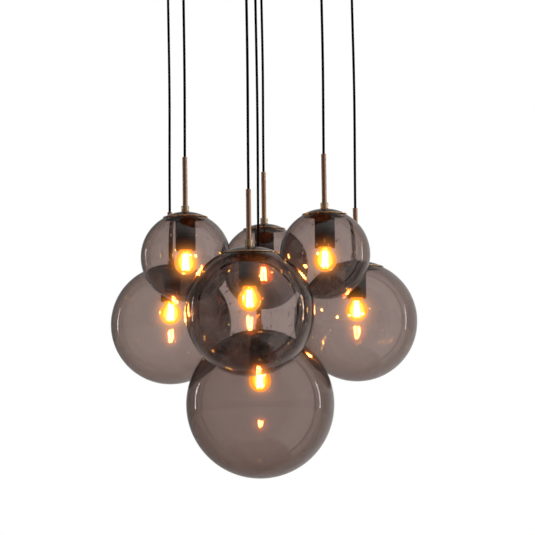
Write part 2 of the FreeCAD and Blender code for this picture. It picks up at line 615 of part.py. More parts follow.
def bulb(lamp):
    """The bulb's glass, the mount inside it, and the filaments between their two hubs."""
    _, base_low, sphere_centre, bottom = bulb_levels()
    tail_top = base_low + BULB_TAIL_LENGTH
    outer, inner = bulb_outline(0), bulb_outline(BULB_GLASS)
    tail = BULB_TAIL_DIAMETER / 2
    closing = (lines((tail, tail_top), (tail - BULB_GLASS, tail_top))
               + lines((0, sphere_centre - BULB_DIAMETER / 2 + BULB_GLASS), (0, bottom)))
    glass = turned(outer + inner + closing)
    mount_low = sphere_centre + BULB_DIAMETER / 2 - MOUNT_BELOW_NECK
    mount = disc(MOUNT_DIAMETER, tail_top - mount_low, mount_low)
    mount = mount.fuse(disc(2 * (tail - BULB_GLASS) - FIT, CLIP_THICKNESS,
                            tail_top - CLIP_THICKNESS))
    low = bottom + FILAMENT_END_GAP
    upper_hub = disc(FILAMENT_TOP_CIRCLE + 2 * FILAMENT_DIAMETER, HUB_HEIGHT,
                     mount_low - HUB_HEIGHT)
    lower_hub = disc(FILAMENT_LOW_CIRCLE + 2 * FILAMENT_DIAMETER, HUB_HEIGHT, low)
    wire_top = mount_low - HUB_HEIGHT
    wire = disc(SUPPORT_WIRE_DIAMETER, wire_top - low - HUB_HEIGHT, low + HUB_HEIGHT)
    pieces = [glass, mount, upper_hub, lower_hub, wire]
    for n in range(FILAMENTS):
        turn = math.radians(360 * n / FILAMENTS + 45)
        ends = [FreeCAD.Vector(circle / 2 * math.cos(turn), circle / 2 * math.sin(turn), z)
                for circle, z in ((FILAMENT_LOW_CIRCLE, low + HUB_HEIGHT),
                                  (FILAMENT_TOP_CIRCLE, wire_top))]
        run = ends[1] - ends[0]
        rod = Part.makeCylinder(FILAMENT_DIAMETER / 2, run.Length, ends[0], run)
        pieces.append(rod.cut(disc(BULB_DIAMETER, HUB_HEIGHT, low))
                      .cut(disc(BULB_DIAMETER, HUB_HEIGHT, wire_top)))
    return Part.makeCompound(pieces)


def write(name, shape):
    """One STEP file for a sub-part."""
    solids = shape.Solids
    if not solids or not shape.isValid() or any(s.Volume <= 0 for s in solids):
        raise ValueError(f"{name} isn't a sound solid")
    kept = solids[0] if len(solids) == 1 else Part.makeCompound(solids)
    kept.exportStep(f"parts/{name}.step")


def main():
    os.makedirs("parts", exist_ok=True)
    all_lamps = lamps()
    write("canopy", canopy(all_lamps))
    write("ceiling_bracket", ceiling_bracket())
    write("cord_grips", cord_grips(all_lamps))
    write("terminal_block", terminal_block())
    for lamp in all_lamps:
        write(f"cord_{lamp.name}", cord(lamp))
        for maker in (stem, cap, glass_clip, globe, lampholder, bulb, bulb_base):
            write(f"{maker.__name__}_{lamp.name}", lamp.place(maker(lamp)))


if __name__ == "__main__":
    main()
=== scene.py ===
import math

import bpy
from mathutils import Matrix, Vector


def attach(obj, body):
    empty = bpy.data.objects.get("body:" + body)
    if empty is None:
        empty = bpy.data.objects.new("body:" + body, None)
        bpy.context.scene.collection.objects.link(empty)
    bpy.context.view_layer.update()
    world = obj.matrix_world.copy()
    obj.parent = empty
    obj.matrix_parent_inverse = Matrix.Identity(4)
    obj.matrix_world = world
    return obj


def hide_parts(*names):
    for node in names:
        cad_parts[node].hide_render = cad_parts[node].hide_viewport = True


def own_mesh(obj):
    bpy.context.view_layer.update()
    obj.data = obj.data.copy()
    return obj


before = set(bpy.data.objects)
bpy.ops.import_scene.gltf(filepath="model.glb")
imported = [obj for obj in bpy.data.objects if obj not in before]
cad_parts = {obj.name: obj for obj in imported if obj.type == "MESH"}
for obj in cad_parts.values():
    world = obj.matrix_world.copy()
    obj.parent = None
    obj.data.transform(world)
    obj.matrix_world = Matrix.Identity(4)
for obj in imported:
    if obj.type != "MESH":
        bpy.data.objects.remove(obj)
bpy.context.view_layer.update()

bl_info = {
    "name": "Cluster pendant",
    "version": (1, 0, 0),
    "blender": (4, 5, 0),
    "location": "3D View > Sidebar > Pendant",
    "description": "Models seven smoke-glass globes that hang on cords from a round canopy",
    "category": "Object",
}

# Metres and degrees. The frame's origin is on the ceiling, above the large globe.
MM = 0.001
SHARP = math.radians(50)  # edges sharper than this are bevelled

# Where the globes hang: name, ring radius, angle, height of the centre, globe radius, wall,
# radius of the hole in the glass, overlap of the cap round the hole
LARGE_HEIGHT = -0.930
MEDIUM_HEIGHT = -0.7578
SMALL_HEIGHT = -0.6356
MEDIUM_RING = 0.22520
SMALL_RING = 0.1615
LAMP_TABLE = (
    ("centre", 0.0, 0.0, LARGE_HEIGHT, 0.150, 0.003, 0.040, 0.016),
    ("front", MEDIUM_RING, -90.0, MEDIUM_HEIGHT, 0.125, 0.0025, 0.040, 0.016),
    ("back_right", MEDIUM_RING, 30.0, MEDIUM_HEIGHT, 0.125, 0.0025, 0.040, 0.016),
    ("back_left", MEDIUM_RING, 150.0, MEDIUM_HEIGHT, 0.125, 0.0025, 0.040, 0.016),
    ("front_right", SMALL_RING, -30.0, SMALL_HEIGHT, 0.090, 0.0025, 0.032, 0.012),
    ("back", SMALL_RING, 90.0, SMALL_HEIGHT, 0.090, 0.0025, 0.032, 0.012),
    ("front_left", SMALL_RING, 210.0, SMALL_HEIGHT, 0.090, 0.0025, 0.032, 0.012),
)

# Cords: the routes of the CAD solids between their ends, as (share of the drop, aside x,
# aside y in millimetres). The ends lie on the lamp's axis.
CORD_TOP = -0.0432
CORD_SEAT_LIFT = 0.0038  # how far a cord's low end sits below the stem's top
CORD_ROUTES = {
    "centre": ((0.12, 0.3, 0.2), (0.25, 0.9, 0.3), (0.37, 1.4, 0.1),
               (0.50, 1.5, -0.3), (0.62, 1.1, -0.5), (0.75, 0.5, -0.4), (0.88, 0.1, -0.1)),
    "front": ((0.17, 0.4, 0.1), (0.34, 1.0, -0.2), (0.50, 1.2, -0.6),
              (0.67, 0.8, -0.5), (0.84, 0.2, -0.2)),
    "back_left": ((0.16, 0.5, 0.3), (0.33, 1.3, 0.4), (0.51, 1.6, 0.1),
                  (0.68, 0.9, -0.2), (0.84, 0.2, -0.2)),
    "back_right": ((0.17, 0.7, 0.2), (0.33, 1.7, 0.4), (0.50, 2.1, 0.3),
                   (0.66, 1.6, 0.0), (0.83, 0.6, -0.1)),
    "back": ((0.20, 0.8, 0.1), (0.40, 1.4, -0.2), (0.61, 1.0, -0.4),
             (0.80, 0.3, -0.2)),
    "front_left": ((0.19, 0.3, 0.4), (0.40, 0.8, 0.7), (0.60, 1.0, 0.5),
                   (0.81, 0.5, 0.1)),
    "front_right": ((0.21, 0.5, 0.3), (0.40, 1.2, 0.3), (0.60, 1.3, -0.1),
                    (0.79, 0.6, -0.2)),
}

# Heights on a lamp are counted from the top of its glass sphere
STEM_TOP = 0.112
STEM_IN_COLLAR = 0.006
STEM_FIT = 0.0001  # between the tube and the collar's bore
STEM_EASE = 0.0003  # broken edges of the tube and its ferrule
FERRULE_LIP = 0.001
FERRULE_LENGTH = 0.008
FERRULE_LINE = 0.0001  # bottom of the fine line between ferrule and tube
SEAT_DEPTH = 0.004
SEAT_ROOM = 0.0003  # round the cord in its seat
WIRE_HOLE = 0.0015
COLLAR_RADIUS = 0.008
COLLAR_HEIGHT = 0.012
COLLAR_EASE = 0.0006
GROOVE_LOW = 0.0026  # the fine groove turned round the collar
GROOVE_HIGH = 0.0036
GROOVE_DEPTH = 0.0003
CAP_GAP = 0.0003
CAP_WALL = 0.001
CAP_BEAD = 0.001
CAP_HIGHLIGHT_SHARE = 0.6  # share of the bead that is coloured bright brass, a painted highlight on the rolled edge
NIPPLE_HOLE = 0.005
CLIP_DISC = 0.015
CLIP_STACK = 0.0058  # clip, nut and gaps between the clip's top and the holder
HOLDER_RADIUS = 0.02025
HOLDER_WALL = 0.0012
HOLDER_LOW = -0.077
HOLDER_ROOF = 0.002
HOLDER_EDGE = 0.003
HOLDER_EASE = 0.0004
INSERT_RADIUS = 0.01895
INSERT_BORE = 0.0134
INSERT_LOW = -0.074
INSERT_BORE_TOP = -0.0460
INSERT_TOP = -0.0360
INSERT_HOLE = 0.001
CONTACT_RADIUS = 0.004
CONTACT_THICKNESS = 0.0007
CONTACT_EASE = 0.0002
BULB_CENTRE = -0.1025
BULB_RADIUS = 0.0225
BULB_NECK_RADIUS = 0.013
BULB_NECK_TOP = -0.0761
BULB_TAIL_RADIUS = 0.011
BULB_TAIL_LOW = -0.0741
BULB_TAIL_TOP = -0.060
BULB_BLEND = 0.008
BULB_WALL = 0.0008
MOUNT_RADIUS = 0.0035
MOUNT_LOW = -0.0840
MOUNT_EASE = 0.0008
# The mount's flared top: (radius, depth below the bulb's tail)
MOUNT_FLARE = ((0.001, 0.0), (0.0095, 0.0), (0.0095, 0.001), (0.005, 0.004),
               (MOUNT_RADIUS, 0.009))
HUB_HEIGHT = 0.0012
LOW_HUB = -0.1160
FILAMENTS = 4
FILAMENT_TURN = 45  # degrees from the X axis to the first filament
FILAMENT_RADIUS = 0.0009
FILAMENT_EASE = 0.0004
FILAMENT_TOP_CIRCLE = 0.0035
FILAMENT_LOW_CIRCLE = 0.0060
WIRE_RADIUS = 0.0006
HUB_DISH = 0.0002  # how far the upper hub dips towards the wire

# Canopy
CANOPY_RADIUS = 0.25020
CANOPY_DEPTH = 0.035
CANOPY_WALL = 0.0015
CANOPY_EDGE = 0.006
CANOPY_EASE = 0.0004
CANOPY_CENTRE = 0.001  # radius of the ring in the middle of the flat pan
CANOPY_RINGS = (0.08, 0.16)  # rings of faces across the flat pan
CANOPY_GRIP_HOLE = 0.0052
CANOPY_STUD_HOLE = 0.00275
STUD_X = 0.150
DRILL_LENGTH = 0.01

# Glow of the bulb's glass in linear light, by level from its bottom (0) to its neck (1)
BULB_LEVEL = "bulb_level"
BULB_GLOW = ((0.0, (0.95, 0.50, 0.06)), (0.06, (0.70, 0.30, 0.02)), (0.30, (0.42, 0.15, 0.008)),
             (0.60, (0.50, 0.17, 0.008)), (1.0, (0.75, 0.16, 0.004)))

# Warm light that each bulb gives the metal round it
SPILL_POWER = 1.1
SPILL_COLOUR = (1.0, 0.36, 0.10)

# Seeds, the small drawn-out bubbles under the skin of blown glass, in metres
SEED_SPACING = 0.013
SEED_RADIUS = 0.0019
SEED_HEIGHT = 0.0005
SEED_STRETCH = (1.0, 1.0, 0.5)

# Camera: the photograph's place, pitch, turn and roll
CAMERA_PLACE = (0.3345, -4.1867, -1.0418)
CAMERA_PITCH = 5.3
CAMERA_TURN = 4.32
CAMERA_ROLL = -0.73
CAMERA_LENS = 139.33  # millimetres, as the sensor's width
CAMERA_SENSOR = 36.0
CAMERA_REACH = 200.0

NODE_PREFIX = {"SHADER": "ShaderNode", "COMPOSITING": "CompositorNode"}
MIX_FIRST, MIX_SECOND, MIX_RESULT = 6, 7, 2  # the colour sockets of a Mix node

# Relief in metres, and its noise in waves or grains per metre
SKIN_RELIEF = 0.0001
GLASS_WAVES = 9.0
GLASS_RELIEF = 0.002
BULB_WAVES = 60.0
BULB_RELIEF = 0.001
PHOSPHOR_GRAINS = 1500.0

# How dark the stains of handled metal are, against its own colour
STAIN_DARKNESS = 0.35
STAIN_CLOUDS = 45.0  # clouds per metre, so each is about 22 mm wide

FLOOR_HEIGHT = -6.2
FLOOR_RADIUS = 50.0
TABLE_EDGE = -0.66  # how low a reflection looks where it meets the dark table
# Brightness of the studio in reflections: (how far back they look, -1 towards the camera)
ROOM_DEPTHS = ((-1.0, 0.12), (-0.7, 0.14), (-0.3, 0.60), (0.10, 0.60), (0.14, 0.02),
               (0.19, 0.03), (0.23, 0.45), (0.50, 0.15), (1.0, 0.50))
ROOM_COLOUR = (1.0, 0.97, 0.94)
ROOM_SIDES = (0.5, 1.5)  # share of that brightness at the room's left and right
ROOM_SIDE_REACH = 0.7
TABLE_LEVEL = 0.05  # brightness of the dark table in reflections
TABLE_BLUR = 0.02
TABLE_WAVE = 0.35
TABLE_WAVE_SCALE = 2.2
# Upright strip lights: name, place, width, height, watts
STRIP_LIGHTS = (
    ("strip_right", (2.7, 0.9, -0.5), 0.05, 1.3, 4),
    ("strip_left", (-2.7, 1.2, -0.5), 0.04, 1.1, 2.5),
)
STRIP_AIM = (0, 0, -0.75)
SKY_STRENGTH = 2.6
SKY_SPREAD = 70
SKY_TILT = (-18, 10)
# Enough for the glass walls of several globes behind one another
GLASS_BOUNCES = 24
GLOSS_BOUNCES = 12
BLOOM = {"Threshold": 2.0, "Size": 0.03, "Clamp": True, "Maximum": 40.0, "Strength": 0.75}


def linear(hex_colour):
    """An sRGB hex colour as three linear values."""
    parts = [int(hex_colour[n:n + 2], 16) / 255 for n in (1, 3, 5)]
    return tuple(p / 12.92 if p <= 0.04045 else ((p + 0.055) / 1.055) ** 2.4 for p in parts)


class PendantSizes(bpy.types.PropertyGroup):
    """Sizes of the pendant's pieces that a user may change."""

    cord_diameter: bpy.props.FloatProperty(
        name="Cord diameter", description="Thickness of each black cord",
        default=0.0053, unit="LENGTH", precision=4)
    stem_radius: bpy.props.FloatProperty(
        name="Stem radius", description="Outer radius of the brass stem tubes",
        default=0.005, unit="LENGTH", precision=4)
    stem_wall: bpy.props.FloatProperty(
        name="Stem wall", description="Wall of the brass stem tubes",
        default=0.001, unit="LENGTH", precision=4)
    glass_edge: bpy.props.FloatProperty(
        name="Glass edge", description="Rounding of the fire-polished edge of the glass",
        default=0.0008, unit="LENGTH", precision=4)


class PendantFinishes(bpy.types.PropertyGroup):
    """Colours and strengths of the pendant's finishes."""

    cord: bpy.props.FloatVectorProperty(
        name="Cord", description="PVC sheath of the cords", subtype="COLOR",
        default=linear("#070606"))
    stem: bpy.props.FloatVectorProperty(
        name="Stem", description="Satin brass of the stem tubes", subtype="COLOR",
        default=linear("#C69F86"))
    # Also the colour of the painted highlight on the caps' rolled edge.
    collar: bpy.props.FloatVectorProperty(
        name="Collar", description="Paler brass of the collars", subtype="COLOR",
        default=linear("#DCC3A2"))
    cap: bpy.props.FloatVectorProperty(
        name="Cap", description="Darkened brass of the domed caps", subtype="COLOR",
        default=linear("#38221A"))
    glass: bpy.props.FloatVectorProperty(
        name="Smoke glass", description="Colour that the tinted glass lets through, linear",
        subtype="COLOR", default=(0.282, 0.118, 0.056))
    glass_density: bpy.props.FloatProperty(
        name="Smoke density", description="How strongly a metre of the glass darkens light",
        default=340.0, min=0.0)
    bulb: bpy.props.FloatVectorProperty(
        name="Bulb glass", description="Amber tint of the bulbs' glass", subtype="COLOR",
        default=linear("#FFCF7A"))
    glow: bpy.props.FloatVectorProperty(
        name="Glow", description="Light of the filaments", subtype="COLOR",
        default=linear("#FFD9A0"))
    glow_strength: bpy.props.FloatProperty(
        name="Glow strength", description="Brightness of the filaments", default=600.0, min=0.0)


class Lamp:
    """One pendant's name, place and sizes, in metres."""

    def __init__(self, name, ring, angle, height, radius, wall, hole, overlap):
        self.name = name
        self.x = ring * math.cos(math.radians(angle))
        self.y = ring * math.sin(math.radians(angle))
        self.radius = radius
        self.wall = wall
        self.hole = hole
        self.cap_radius = hole + overlap
        self.top = height + radius

    def cap_underside(self, r):
        """Height of the cap's underside at radius r, from the top of the sphere."""
        return math.sqrt((self.radius + CAP_GAP) ** 2 - r ** 2) - self.radius


LAMPS = [Lamp(*row) for row in LAMP_TABLE]
BY_RADIUS = {}
for one in LAMPS:
    BY_RADIUS.setdefault(one.radius, []).append(one)


# ---- Modelling steps ----

def start_clean():
    """Leaves edit mode and deselects everything, the CAD nodes included."""
    if bpy.context.object is not None and bpy.context.object.mode != "OBJECT":
        bpy.ops.object.mode_set(mode="OBJECT")
    bpy.ops.object.select_all(action="DESELECT")


def pick(piece):
    """Makes a piece the only selected and active one."""
    start_clean()
    piece.select_set(True)
    bpy.context.view_layer.objects.active = piece


def settle(piece, angle=35):
    """Puts the finished piece's place into its mesh and smooths its rounded faces."""
    pick(piece)
    bpy.ops.object.transform_apply(location=True, rotation=True, scale=True)
    bpy.ops.object.shade_smooth_by_angle(angle=math.radians(angle))


def arc(centre, radius, start, end, steps):
    """Points (radius, height) of a profile along a circle, from one angle to another."""
    turns = [math.radians(start + (end - start) * n / steps) for n in range(steps + 1)]
    return [(centre[0] + radius * math.cos(t), centre[1] + radius * math.sin(t)) for t in turns]


def turned(name, profile, segments=64, filled=False):
    """A piece turned about the Z axis: a circle is extruded from ring to ring of the profile.
    A last radius of 0 closes it to a point, and a last point equal to the first closes it."""
    start_clean()
    radius, height = profile[0]
    bpy.ops.mesh.primitive_circle_add(vertices=segments, radius=radius, location=(0, 0, height),
                                      fill_type="TRIFAN" if filled else "NOTHING")
    piece = bpy.context.object
    piece.name = name
    bpy.ops.object.mode_set(mode="EDIT")
    bpy.ops.mesh.select_mode(type="EDGE")
    if filled:
        bpy.ops.mesh.select_all(action="DESELECT")
        bpy.ops.mesh.select_non_manifold(extend=False)
    else:
        bpy.ops.mesh.select_all(action="SELECT")
    for next_radius, next_height in profile[1:]:
        bpy.ops.mesh.extrude_region_move(
            TRANSFORM_OT_translate={"value": (0, 0, next_height - height)})
        if next_radius == 0:
            bpy.ops.mesh.merge(type="CENTER")
            break
        if next_radius != radius:
            factor = next_radius / radius
            bpy.ops.transform.resize(value=(factor, factor, 1),
                                     center_override=(0, 0, next_height))
        radius, height = next_radius, next_height
    bpy.ops.mesh.select_all(action="SELECT")
    bpy.ops.mesh.remove_doubles(threshold=1e-6)
    bpy.ops.mesh.normals_make_consistent(inside=False)
    bpy.ops.object.mode_set(mode="OBJECT")
    return piece


def modify(piece, kind, **settings):
    """Adds a modifier and applies it."""
    pick(piece)
    bpy.ops.object.modifier_add(type=kind)
    modifier = piece.modifiers[-1]
    for key, value in settings.items():
        setattr(modifier, key, value)
    bpy.ops.object.modifier_apply(modifier=modifier.name)


def hang(master, name, place):
    """A copy of a master piece, with its own mesh, moved to its place."""
    pick(master)
    bpy.ops.object.duplicate()
    piece = bpy.context.object
    piece.name = name
    bpy.ops.transform.translate(value=place)
    bpy.ops.object.transform_apply(location=True, rotation=True, scale=True)
    return piece


def discard(piece):
    """Deletes a master once its copies hang."""
    pick(piece)
    bpy.ops.object.delete()


def hang_all(master, kind, lamps, body, node):
    """Hangs a copy of the master on each lamp, bound to its body in place of its CAD node."""
    for lamp in lamps:
        piece = hang(master, f"{kind}_{lamp.name}", (lamp.x, lamp.y, lamp.top))
        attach(piece, f"{body}_{lamp.name}")
        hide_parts(f"{node}_{lamp.name}")
    discard(master)


def finish_all(master, material, kind, lamps, body, node, angle=35):
    """Coats and smooths a master and hangs its copies."""
    coat(master, material)
    settle(master, angle)
    hang_all(master, kind, lamps, body, node)


# ---- Finishes ----

def add_node(tree, kind, settings=(), links=()):
    """Adds a node, sets its properties and inputs, and links outputs to its inputs.
    Inputs go by name, or by number where a node has several of one name."""
    node = tree.nodes.new(NODE_PREFIX[tree.type] + kind)
    for key, value in dict(settings).items():
        if isinstance(key, int) or key in node.inputs:
            node.inputs[key].default_value = value
        else:
            setattr(node, key, value)
    for key, source in dict(links).items():
        tree.links.new(source, node.inputs[key])
    return node


def fill_ramp(ramp, stops):
    """Gives a colour ramp its stops, as (position, colour)."""
    elements = ramp.color_ramp.elements
    while len(elements) < len(stops):
        elements.new(0.5)
    for element, (position, colour) in zip(elements, stops):
        element.position = position
        element.color = (*colour, 1)


def new_material(name):
    """An empty node material and its tree, or the finished one and None."""
    found = bpy.data.materials.get(name)
    if found is not None:
        return found, None
    material = bpy.data.materials.new(name)
    material.use_nodes = True
    material.node_tree.nodes.clear()
    return material, material.node_tree


def streaked(tree, scale, stretch, low, high):
    """Height and roughness from noise, its scale per metre, drawn out along a direction."""
    place = add_node(tree, "TexCoord")
    drawn = add_node(tree, "Mapping", {"Scale": stretch},
                     {"Vector": place.outputs["Object"]})
    noise = add_node(tree, "TexNoise", {"Scale": scale, "Detail": 4.0},
                     {"Vector": drawn.outputs["Vector"]})
    rough = add_node(tree, "MapRange", {"To Min": low, "To Max": high},
                     {"Value": noise.outputs["Fac"]})
    return noise.outputs["Fac"], rough.outputs["Result"]


def metal(name, colour, scale, stretch, low, high, bump, stain=0.12):
    """A solid metal whose polish marks are drawn out along one direction, slightly stained."""
    material, tree = new_material(name)
    if tree is None:
        return material
    height, rough = streaked(tree, scale, stretch, low, high)
    place = add_node(tree, "TexCoord")
    cloud = add_node(tree, "TexNoise", {"Scale": STAIN_CLOUDS, "Detail": 3.0},
                     {"Vector": place.outputs["Object"]})
    tone = add_node(tree, "MapRange",
                    {"From Min": 0.3, "From Max": 0.7, "To Min": 0.0, "To Max": stain},
                    {"Value": cloud.outputs["Fac"]})
    dark = [part * STAIN_DARKNESS for part in colour]
    shade = add_node(tree, "Mix",
                     {"data_type": "RGBA", MIX_FIRST: (*colour, 1), MIX_SECOND: (*dark, 1)},
                     {"Factor": tone.outputs["Result"]})
    relief = add_node(tree, "Bump", {"Strength": bump, "Distance": SKIN_RELIEF},
                      {"Height": height})
    shader = add_node(tree, "BsdfPrincipled", {"Metallic": 1.0},
                      {"Base Color": shade.outputs[MIX_RESULT], "Roughness": rough,
                       "Normal": relief.outputs["Normal"]})
    add_node(tree, "OutputMaterial", (), {"Surface": shader.outputs["BSDF"]})
    return material


def plastic(name, colour, scale, low, high, bump, ior=1.5, shine=0.5):
    """A moulded plastic with a faint texture in its skin."""
    material, tree = new_material(name)
    if tree is None:
        return material
    height, rough = streaked(tree, scale, (1, 1, 1), low, high)
    relief = add_node(tree, "Bump", {"Strength": bump, "Distance": SKIN_RELIEF},
                      {"Height": height})
    shader = add_node(tree, "BsdfPrincipled",
                      {"Base Color": (*colour, 1), "IOR": ior, "Specular IOR Level": shine},
                      {"Roughness": rough, "Normal": relief.outputs["Normal"]})
    add_node(tree, "OutputMaterial", (), {"Surface": shader.outputs["BSDF"]})
    return material


def smoke_glass(finishes):
    """Blown soda-lime glass, tinted grey-brown in the melt: clear, darker where the light
    goes through more of it, so at the rims, faintly wavy from the blowing, with small seeds
    that catch the light of the bulbs."""
    material, tree = new_material("blown_smoke_glass")
    if tree is None:
        return material
    place = add_node(tree, "TexCoord")
    wave = add_node(tree, "TexNoise", {"Scale": GLASS_WAVES, "Detail": 1.0},
                    {"Vector": place.outputs["Object"]})
    relief = add_node(tree, "Bump", {"Strength": 0.12, "Distance": GLASS_RELIEF},
                      {"Height": wave.outputs["Fac"]})
    drawn = add_node(tree, "Mapping", {"Scale": SEED_STRETCH},
                     {"Vector": place.outputs["Object"]})
    cells = add_node(tree, "TexVoronoi", {"Scale": 1 / SEED_SPACING},
                     {"Vector": drawn.outputs["Vector"]})
    seeds = add_node(tree, "MapRange",
                     {"interpolation_type": "SMOOTHSTEP", "From Min": 0.0,
                      "From Max": SEED_RADIUS / SEED_SPACING, "To Min": 1.0, "To Max": 0.0},
                     {"Value": cells.outputs["Distance"]})
    relief = add_node(tree, "Bump", {"Strength": 1.0, "Distance": SEED_HEIGHT},
                      {"Height": seeds.outputs["Result"], "Normal": relief.outputs["Normal"]})
    shader = add_node(tree, "BsdfPrincipled",
                      {"Base Color": (1, 1, 1, 1), "Roughness": 0.0, "IOR": 1.52,
                       "Transmission Weight": 1.0}, {"Normal": relief.outputs["Normal"]})
    tint = add_node(tree, "VolumeAbsorption",
                    {"Color": (*finishes.glass, 1), "Density": finishes.glass_density})
    add_node(tree, "OutputMaterial", (),
             {"Surface": shader.outputs["BSDF"], "Volume": tint.outputs["Volume"]})
    return material


def amber_glass(finishes):
    """Thin amber-tinted soda-lime glass of a lit bulb, which glows from the filaments:
    gold round them and at its bottom, deep orange at its neck."""
    material, tree = new_material("thin_amber_bulb_glass")
    if tree is None:
        return material
    place = add_node(tree, "TexCoord")
    levels = add_node(tree, "Attribute", {"attribute_name": BULB_LEVEL})
    glow = add_node(tree, "ValToRGB", (), {"Fac": levels.outputs["Fac"]})
    fill_ramp(glow, BULB_GLOW)
    wave = add_node(tree, "TexNoise", {"Scale": BULB_WAVES, "Detail": 1.0},
                    {"Vector": place.outputs["Object"]})
    relief = add_node(tree, "Bump", {"Strength": 0.1, "Distance": BULB_RELIEF},
                      {"Height": wave.outputs["Fac"]})
    shader = add_node(tree, "BsdfPrincipled",
                      {"Base Color": (*finishes.bulb, 1), "Roughness": 0.02, "IOR": 1.5,
                       "Transmission Weight": 1.0, "Emission Strength": 1.0},
                      {"Normal": relief.outputs["Normal"],
                       "Emission Color": glow.outputs["Color"]})
    add_node(tree, "OutputMaterial", (), {"Surface": shader.outputs["BSDF"]})
    return material


def clear_mount_glass():
    """Clear lead glass of the mount in a bulb."""
    material, tree = new_material("clear_mount_glass")
    if tree is None:
        return material
    shader = add_node(tree, "BsdfPrincipled",
                      {"Base Color": (1.0, 0.85, 0.6, 1), "Roughness": 0.05, "IOR": 1.54,
                       "Transmission Weight": 1.0})
    add_node(tree, "OutputMaterial", (), {"Surface": shader.outputs["BSDF"]})
    return material


def glowing_filament(finishes):
    """Phosphor-coated filament strip, white-hot to the eye."""
    material, tree = new_material("glowing_filament_phosphor")
    if tree is None:
        return material
    place = add_node(tree, "TexCoord")
    grain = add_node(tree, "TexNoise", {"Scale": PHOSPHOR_GRAINS, "Detail": 2.0},
                     {"Vector": place.outputs["Object"]})
    rough = add_node(tree, "MapRange", {"To Min": 0.5, "To Max": 0.8},
                     {"Value": grain.outputs["Fac"]})
    shader = add_node(tree, "BsdfPrincipled",
                      {"Base Color": (0.9, 0.75, 0.4, 1), "Emission Color": (*finishes.glow, 1),
                       "Emission Strength": finishes.glow_strength},
                      {"Roughness": rough.outputs["Result"]})
    add_node(tree, "OutputMaterial", (), {"Surface": shader.outputs["BSDF"]})
    return material


def stem_brass(finishes):
    """Drawn brass tube, satin polished round its length: soft bands of light run along it."""
    return metal("satin_stem_brass", finishes.stem, scale=40.0, stretch=(1, 1, 60),
                 low=0.19, high=0.25, bump=0.02)


def collar_brass(finishes):
    """Turned brass, brighter than the tube, with fine tool marks round it."""
    return metal("turned_collar_brass", finishes.collar, scale=60.0, stretch=(1, 1, 40),
                 low=0.14, high=0.22, bump=0.03)


def cap_brass(finishes):
    """Spun brass, chemically darkened and lacquered: near black with clear reflections."""
    return metal("darkened_spun_brass", finishes.cap, scale=30.0, stretch=(1, 1, 20),
                 low=0.10, high=0.2, bump=0.05)


def cap_edge_painted_highlight(finishes):
    """The rolled edge of the cap in bright brass, a painted highlight along the dark cap's bead.
    """
    return metal("painted_highlight_cap_edge", finishes.collar, scale=30.0, stretch=(1, 1, 20),
                 low=0.12, high=0.24, bump=0.05)


def canopy_brass(finishes):
    """Spun brass sheet, brushed and lacquered."""
    return metal("brushed_canopy_brass", finishes.stem, scale=55.0, stretch=(1, 14, 1),
                 low=0.22, high=0.4, bump=0.15)


def zinc_steel():
    """Pressed steel strip and turned steel, bright zinc plated."""
    return metal("zinc_plated_steel", linear("#C4C8CC"), scale=50.0, stretch=(1, 8, 1),
                 low=0.25, high=0.45, bump=0.1)


def nickel_brass():
    """Nickel-plated brass of the bulbs' screw shells."""
    return metal("nickel_plated_brass", linear("#C8C2B4"), scale=60.0, stretch=(1, 1, 8),
                 low=0.16, high=0.3, bump=0.08)


def black_phenolic():
    """Compression-moulded phenolic: hard, black-brown, half gloss."""
    return plastic("black_phenolic", linear("#140C09"), scale=140.0, low=0.22, high=0.3,
                   bump=0.01, ior=1.6)


def black_nylon():
    """Moulded black nylon with a fine spark-eroded texture."""
    return plastic("black_nylon", linear("#161616"), scale=900.0, low=0.45, high=0.6, bump=0.25)


def white_polyamide():
    """Moulded natural polyamide of the terminal block."""
    return plastic("natural_polyamide", linear("#E4E0D4"), scale=500.0, low=0.4, high=0.55,
                   bump=0.1)


def cord_pvc(finishes):
    """Extruded PVC sheath: black, satin, with faint drawing marks along it."""
    return plastic("extruded_cord_pvc", finishes.cord, scale=700.0, low=0.5, high=0.65,
                   bump=0.05, shine=0.05)


def coat(piece, *materials):
    """Gives a piece its materials, in the order of its slots."""
    piece.data.materials.clear()
    for material in materials:
        piece.data.materials.append(material)


def coat_node(name, material):
    """Gives a CAD node that stays in view its material."""
    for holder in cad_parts[name].material_slots:
        holder.material = material


# ---- Pieces ----

class PENDANT_OT_camera(bpy.types.Operator):
    """Places the camera where the photograph was taken from"""

    bl_idname = "pendant.camera"
    bl_label = "Camera"

    def execute(self, context):
        start_clean()
        bpy.ops.object.camera_add(location=CAMERA_PLACE)
        camera = context.object
        camera.name = "photo_camera"
        camera.data.lens = CAMERA_LENS
        camera.data.sensor_width = CAMERA_SENSOR
        camera.data.clip_end = CAMERA_REACH
        aim = (Matrix.Rotation(math.radians(CAMERA_TURN), 4, "Z")
               @ Matrix.Rotation(math.radians(90 + CAMERA_PITCH), 4, "X")
               @ Matrix.Rotation(math.radians(CAMERA_ROLL), 4, "Z"))
        camera.matrix_world = Matrix.Translation(CAMERA_PLACE) @ aim
        context.scene.camera = camera
        return {"FINISHED"}


def cord_route(lamp):
    """The cord's control points, from its seat in the grip to its seat in the stem."""
    drop = CORD_TOP - (lamp.top + STEM_TOP - CORD_SEAT_LIFT)
    route = ((0.0, 0.0, 0.0), *CORD_ROUTES[lamp.name], (1.0, 0.0, 0.0))
    return [Vector((lamp.x + x * MM, lamp.y + y * MM, CORD_TOP - share * drop))
            for share, x, y in route], drop


